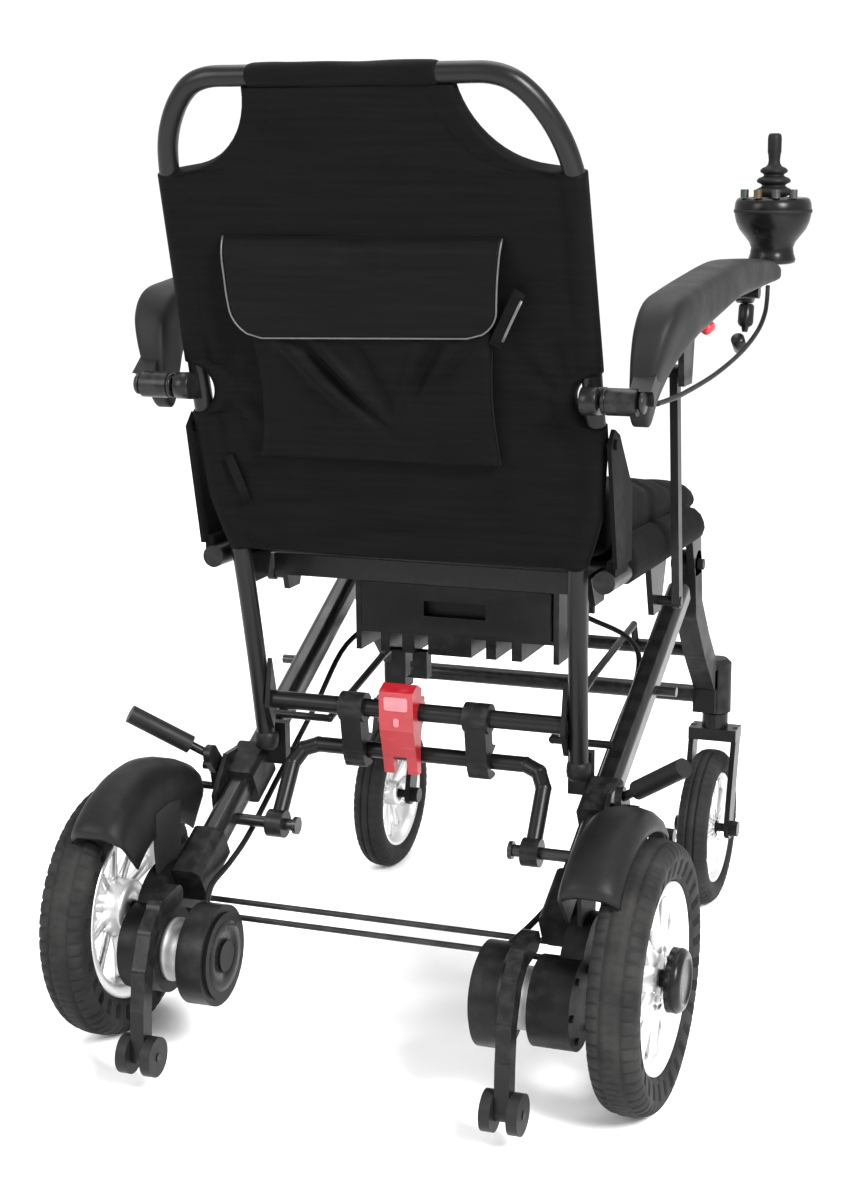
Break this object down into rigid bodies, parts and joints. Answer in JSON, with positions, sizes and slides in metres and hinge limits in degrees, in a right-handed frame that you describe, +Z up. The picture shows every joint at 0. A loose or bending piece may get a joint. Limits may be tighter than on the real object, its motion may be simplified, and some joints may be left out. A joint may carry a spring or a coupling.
{
  "type": "folding power wheelchair",
  "caption": "Folding power wheelchair with joystick, solid drive wheels, swivel casters, sling back and padded seat.",
  "frame": {"origin": "on the floor plane, under the middle of the whole chair", "axes": "+Z up, the chair faces -Y, +X is the user's left"},
  "size_m": [0.622, 0.798, 0.9489],
  "materials": {
    "frame_paint": "satin",
    "carbon": "satin",
    "cast_black": "satin",
    "motor_black": "satin",
    "rod_steel": "satin",
    "black_plastic": "matte",
    "seat_fabric": "matte",
    "back_fabric": "matte",
    "pad_vinyl": "matte",
    "tray_grey": "satin",
    "tyre": "matte",
    "rim_silver": "satin",
    "latch_red": "gloss",
    "cable_rubber": "matte",
    "boot_rubber": "matte",
    "gimbal_metal": "satin",
    "button_green": "matte",
    "button_amber": "matte",
    "button_grey": "matte"
  },
  "bodies": {
    "chassis": {"main_tubes": "carbon", "cradles": "cast_black", "gearboxes": "cast_black", "motors": "motor_black", "rear_tie_rods": "rod_steel", "fenders": "black_plastic", "anti_tip_arms": "frame_paint", "brake_brackets": "frame_paint", "front_legs": "cast_black", "front_crossbars": "frame_paint", "caster_housings": "cast_black", "seat_frame": "frame_paint", "hinge_cheeks": "black_plastic", "seat_cushion": "seat_fabric", "battery_tray": "tray_grey", "controller_box": "black_plastic", "motor_cables": "cable_rubber"},
    "battery": {"battery_pack": "black_plastic"},
    "footrest": {"footrest_hanger": "frame_paint", "footplate": "black_plastic"},
    "backrest": {"backrest_frame": "frame_paint", "backrest_crossbar": "frame_paint", "hinge_plates": "cast_black", "backrest_fabric": "back_fabric", "back_cushion": "back_fabric", "back_pocket": "back_fabric"},
    "latch": {"fold_latch": "latch_red"},
    "stay": {"stay_frame": "frame_paint"},
    "arm_right": {"arm_frame_right": "frame_paint", "arm_pad_right": "pad_vinyl", "joystick_housing": "black_plastic", "joystick_cable": "cable_rubber"},
    "arm_left": {"arm_frame_left": "frame_paint", "arm_pad_left": "pad_vinyl"},
    "gimbal": {"joystick_gimbal": "gimbal_metal"},
    "stick": {"joystick_stick": "boot_rubber"},
    "strut_left": {"arm_strut_left": "frame_paint"},
    "rear_wheel_left": {"rear_tyre_left": "tyre", "rear_rim_left": "rim_silver", "hub_cap_left": "black_plastic"},
    "caster_swivel_left": {"caster_fork_left": "frame_paint"},
    "caster_wheel_left": {"caster_tyre_left": "tyre", "caster_rim_left": "rim_silver"},
    "anti_tip_left": {"anti_tip_rollers_left": "black_plastic"},
    "brake_left": {"brake_lever_left": "frame_paint", "brake_grip_left": "black_plastic"},
    "strut_right": {"arm_strut_right": "frame_paint"},
    "rear_wheel_right": {"rear_tyre_right": "tyre", "rear_rim_right": "rim_silver", "hub_cap_right": "black_plastic"},
    "caster_swivel_right": {"caster_fork_right": "frame_paint"},
    "caster_wheel_right": {"caster_tyre_right": "tyre", "caster_rim_right": "rim_silver"},
    "anti_tip_right": {"anti_tip_rollers_right": "black_plastic"},
    "brake_right": {"brake_lever_right": "frame_paint", "brake_grip_right": "black_plastic"},
    "power": {"power_button": "button_green"},
    "horn": {"horn_button": "button_amber"},
    "speed_up": {"speed_up_button": "button_grey"},
    "speed_down": {"speed_down_button": "button_grey"}
  },
  "joints": [
    {"name": "back_fold", "type": "hinge", "parent": "chassis", "child": "backrest", "pos_m": [0, 0.167, 0.605], "axis": [1, 0, 0], "range_deg": [0, 105]},
    {"name": "latch_release", "type": "hinge", "parent": "backrest", "child": "latch", "pos_m": [0, 0.12, 0.321], "axis": [1, 0, 0], "range_deg": [0, 25], "stiffness_Nm_per_rad": 1.5},
    {"name": "stay_fold", "type": "hinge", "parent": "chassis", "child": "stay", "pos_m": [0, 0.161, 0.203], "axis": [1, 0, 0], "range_deg": [-42, 0]},
    {"name": "arm_fold_left", "type": "hinge", "parent": "backrest", "child": "arm_left", "pos_m": [0.239, 0.204, 0.649], "axis": [1, 0, 0], "range_deg": [-105, 0]},
    {"name": "strut_fold_left", "type": "hinge", "parent": "chassis", "child": "strut_left", "pos_m": [0.224, -0.037, 0.417], "axis": [1, 0, 0], "range_deg": [0, 22.68]},
    {"name": "drive_wheel_left", "type": "hinge", "parent": "chassis", "child": "rear_wheel_left", "pos_m": [0.272, 0.246, 0.127], "axis": [1, 0, 0], "continuous": true},
    {"name": "caster_turn_left", "type": "hinge", "parent": "chassis", "child": "caster_swivel_left", "pos_m": [0.198, -0.339, 0.24], "axis": [0, 0, 1], "continuous": true},
    {"name": "caster_roll_left", "type": "hinge", "parent": "caster_swivel_left", "child": "caster_wheel_left", "pos_m": [0.198, -0.309, 0.09], "axis": [1, 0, 0], "continuous": true},
    {"name": "anti_tip_roll_left", "type": "hinge", "parent": "chassis", "child": "anti_tip_left", "pos_m": [0.18, 0.38, 0.038], "axis": [1, 0, 0], "continuous": true},
    {"name": "park_brake_left", "type": "hinge", "parent": "chassis", "child": "brake_left", "pos_m": [0.217, 0.128, 0.246], "axis": [1, 0, 0], "range_deg": [0, 38]},
    {"name": "arm_fold_right", "type": "hinge", "parent": "backrest", "child": "arm_right", "pos_m": [-0.239, 0.204, 0.649], "axis": [1, 0, 0], "range_deg": [-105, 0]},
    {"name": "strut_fold_right", "type": "hinge", "parent": "chassis", "child": "strut_right", "pos_m": [-0.224, -0.037, 0.417], "axis": [1, 0, 0], "range_deg": [0, 22.68]},
    {"name": "drive_wheel_right", "type": "hinge", "parent": "chassis", "child": "rear_wheel_right", "pos_m": [-0.272, 0.246, 0.127], "axis": [1, 0, 0], "continuous": true},
    {"name": "caster_turn_right", "type": "hinge", "parent": "chassis", "child": "caster_swivel_right", "pos_m": [-0.198, -0.339, 0.24], "axis": [0, 0, 1], "continuous": true},
    {"name": "caster_roll_right", "type": "hinge", "parent": "caster_swivel_right", "child": "caster_wheel_right", "pos_m": [-0.198, -0.309, 0.09], "axis": [1, 0, 0], "continuous": true},
    {"name": "anti_tip_roll_right", "type": "hinge", "parent": "chassis", "child": "anti_tip_right", "pos_m": [-0.18, 0.38, 0.038], "axis": [1, 0, 0], "continuous": true},
    {"name": "park_brake_right", "type": "hinge", "parent": "chassis", "child": "brake_right", "pos_m": [-0.217, 0.128, 0.246], "axis": [1, 0, 0], "range_deg": [0, 38]},
    {"name": "battery_slide", "type": "slide", "parent": "chassis", "child": "battery", "axis": [0, 1, 0], "range_m": [0, 0.18]},
    {"name": "footrest_flip", "type": "hinge", "parent": "chassis", "child": "footrest", "pos_m": [0, -0.261, 0.312], "axis": [1, 0, 0], "range_deg": [0, 100]},
    {"name": "joystick_fore_aft", "type": "hinge", "parent": "arm_right", "child": "gimbal", "pos_m": [-0.252, -0.331, 0.806], "axis": [1, 0, 0], "range_deg": [-16, 16], "stiffness_Nm_per_rad": 0.12},
    {"name": "joystick_side", "type": "hinge", "parent": "gimbal", "child": "stick", "pos_m": [-0.252, -0.331, 0.806], "axis": [0, 1, 0], "range_deg": [-16, 16], "stiffness_Nm_per_rad": 0.12},
    {"name": "power_press", "type": "slide", "parent": "arm_right", "child": "power", "axis": [0, 0, -1], "range_m": [0, 0.0012], "stiffness_N_per_m": 700},
    {"name": "horn_press", "type": "slide", "parent": "arm_right", "child": "horn", "axis": [0, 0, -1], "range_m": [0, 0.0012], "stiffness_N_per_m": 700},
    {"name": "speed_up_press", "type": "slide", "parent": "arm_right", "child": "speed_up", "axis": [0, 0, -1], "range_m": [0, 0.0012], "stiffness_N_per_m": 700},
    {"name": "speed_down_press", "type": "slide", "parent": "arm_right", "child": "speed_down", "axis": [0, 0, -1], "range_m": [0, 0.0012], "stiffness_N_per_m": 700}
  ],
  "couplings": [
    {"joint": "stay_fold", "follows": "back_fold", "ratio": -0.4},
    {"joint": "arm_fold_left", "follows": "back_fold", "ratio": -1},
    {"joint": "strut_fold_left", "follows": "back_fold", "ratio": 0.216},
    {"joint": "arm_fold_right", "follows": "back_fold", "ratio": -1},
    {"joint": "strut_fold_right", "follows": "back_fold", "ratio": 0.216}
  ]
}
